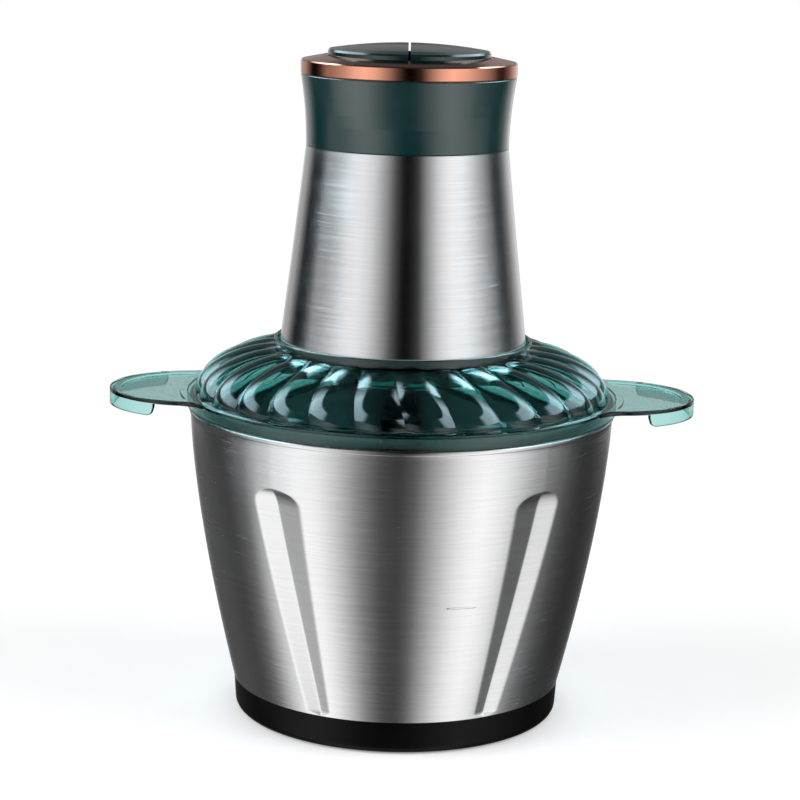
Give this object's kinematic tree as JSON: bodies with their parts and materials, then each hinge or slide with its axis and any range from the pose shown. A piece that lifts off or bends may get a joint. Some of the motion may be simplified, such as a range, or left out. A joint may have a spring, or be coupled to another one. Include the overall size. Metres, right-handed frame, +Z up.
{
  "type": "electric food chopper",
  "caption": "Electric food chopper: fluted steel bowl on a rubber base, clear ribbed lid with carrying ears, and a tapering steel motor head with split push buttons that drives stacked blades.",
  "frame": {"origin": "centre of the base ring's underside, on the table", "axes": "+Z up along the drive axis, +X towards the right carrying ear, -Y towards the front"},
  "size_m": [0.263, 0.1928, 0.3016],
  "materials": {
    "bowl_steel": "brushed round the axis",
    "base_rubber": "matt",
    "turned_steel": "turned",
    "lid_clear": "clear tinted, polished",
    "silicone": "satin",
    "housing_steel": "brushed round the axis",
    "green_gloss": "polished",
    "rose_metal": "satin plated",
    "button_green": "polished",
    "black_plastic": "moulded",
    "white_plastic": "moulded",
    "gear_nylon": "moulded",
    "cast_alloy": "cast",
    "lamination": "stamped sheets",
    "enamelled_copper": "wound wire",
    "bare_copper": "turned",
    "bronze": "sintered",
    "brass_plate": "pressed",
    "carbon": "dull",
    "board_green": "coated",
    "plunger_red": "moulded",
    "seal_rubber": "matt",
    "blade_steel": "ground"
  },
  "bodies": {
    "bowl": {"bowl_shell": "bowl_steel", "base_ring": "base_rubber", "bowl_spindle": "turned_steel", "spindle_nut": "turned_steel"},
    "lid": {"lid_cover": "lid_clear", "lid_gasket": "silicone"},
    "head": {"housing_shell": "housing_steel", "neck_band": "green_gloss", "trim_ring": "rose_metal", "button_deck": "black_plastic", "base_cap": "black_plastic", "oil_seal": "seal_rubber", "output_bush": "bronze", "gearbox_housing": "cast_alloy", "ring_gear": "gear_nylon", "gearbox_cover": "cast_alloy", "lower_bearing": "turned_steel", "motor_frame": "black_plastic", "stator_core": "lamination", "field_windings": "enamelled_copper", "upper_bracket": "cast_alloy", "upper_bearing": "turned_steel", "brush_holders": "brass_plate", "carbon_brushes": "carbon", "circuit_board": "board_green", "micro_switches": "black_plastic", "cord_gland": "base_rubber", "cap_screws": "turned_steel", "frame_screws": "turned_steel", "deck_screws": "turned_steel", "left_spring": "turned_steel", "right_spring": "turned_steel"},
    "rotor": {"rotor_shaft": "turned_steel", "armature_core": "lamination", "armature_windings": "enamelled_copper", "commutator": "bare_copper", "cooling_fan": "black_plastic", "sun_gear": "turned_steel"},
    "carrier": {"planet_carrier": "turned_steel", "planet_pins": "turned_steel", "output_shaft": "turned_steel", "shaft_clip": "turned_steel", "drive_coupler": "black_plastic"},
    "planet_1": {"planet_gear_1": "gear_nylon"},
    "planet_2": {"planet_gear_2": "gear_nylon"},
    "planet_3": {"planet_gear_3": "gear_nylon"},
    "left_key": {"left_button": "button_green", "left_plunger": "plunger_red"},
    "right_key": {"right_button": "button_green", "right_plunger": "plunger_red"},
    "blade_bearing": {"blade_bearing": "white_plastic"},
    "blade": {"blade_hub": "white_plastic", "lower_blade": "blade_steel", "upper_blade": "blade_steel", "blade_spacer": "white_plastic", "blade_nut": "white_plastic"}
  },
  "joints": [
    {"name": "lid_lift", "type": "slide", "parent": "bowl", "child": "lid", "axis": [0, 0, 1], "range_m": [0, 0.28]},
    {"name": "head_lift", "type": "slide", "parent": "lid", "child": "head", "axis": [0, 0, 1], "range_m": [0, 0.06]},
    {"name": "rotor_spin", "type": "hinge", "parent": "head", "child": "rotor", "pos_m": [0, 0, 0.22], "axis": [0, 0, 1], "continuous": true},
    {"name": "drive_spin", "type": "hinge", "parent": "head", "child": "carrier", "pos_m": [0, 0, 0.17], "axis": [0, 0, 1], "continuous": true},
    {"name": "planet_1_spin", "type": "hinge", "parent": "carrier", "child": "planet_1", "pos_m": [0.01688, 0, 0.1785], "axis": [0, 0, 1], "continuous": true},
    {"name": "planet_2_spin", "type": "hinge", "parent": "carrier", "child": "planet_2", "pos_m": [-0.00844, 0.01461, 0.1785], "axis": [0, 0, 1], "continuous": true},
    {"name": "planet_3_spin", "type": "hinge", "parent": "carrier", "child": "planet_3", "pos_m": [-0.00844, -0.01461, 0.1785], "axis": [0, 0, 1], "continuous": true},
    {"name": "left_button_press", "type": "slide", "parent": "head", "child": "left_key", "axis": [0, 0, -1], "range_m": [0, 0.0025], "stiffness_N_per_m": 600, "springref_m": -0.003, "deforming": ["left_spring"]},
    {"name": "right_button_press", "type": "slide", "parent": "head", "child": "right_key", "axis": [0, 0, -1], "range_m": [0, 0.0025], "stiffness_N_per_m": 600, "springref_m": -0.003, "deforming": ["right_spring"]},
    {"name": "blade_lift", "type": "slide", "parent": "bowl", "child": "blade_bearing", "axis": [0, 0, 1], "range_m": [0, 0.14]},
    {"name": "blade_spin", "type": "hinge", "parent": "blade_bearing", "child": "blade", "pos_m": [0, 0, 0.05], "axis": [0, 0, 1], "continuous": true}
  ],
  "couplings": [
    {"joint": "drive_spin", "follows": "rotor_spin", "ratio": 0.22222},
    {"joint": "planet_1_spin", "follows": "rotor_spin", "ratio": -0.62222},
    {"joint": "planet_2_spin", "follows": "rotor_spin", "ratio": -0.62222},
    {"joint": "planet_3_spin", "follows": "rotor_spin", "ratio": -0.62222},
    {"joint": "blade_spin", "follows": "rotor_spin", "ratio": 0.22222},
    {"joint": "blade_lift", "follows": "lid_lift", "ratio": 0.5}
  ]
}
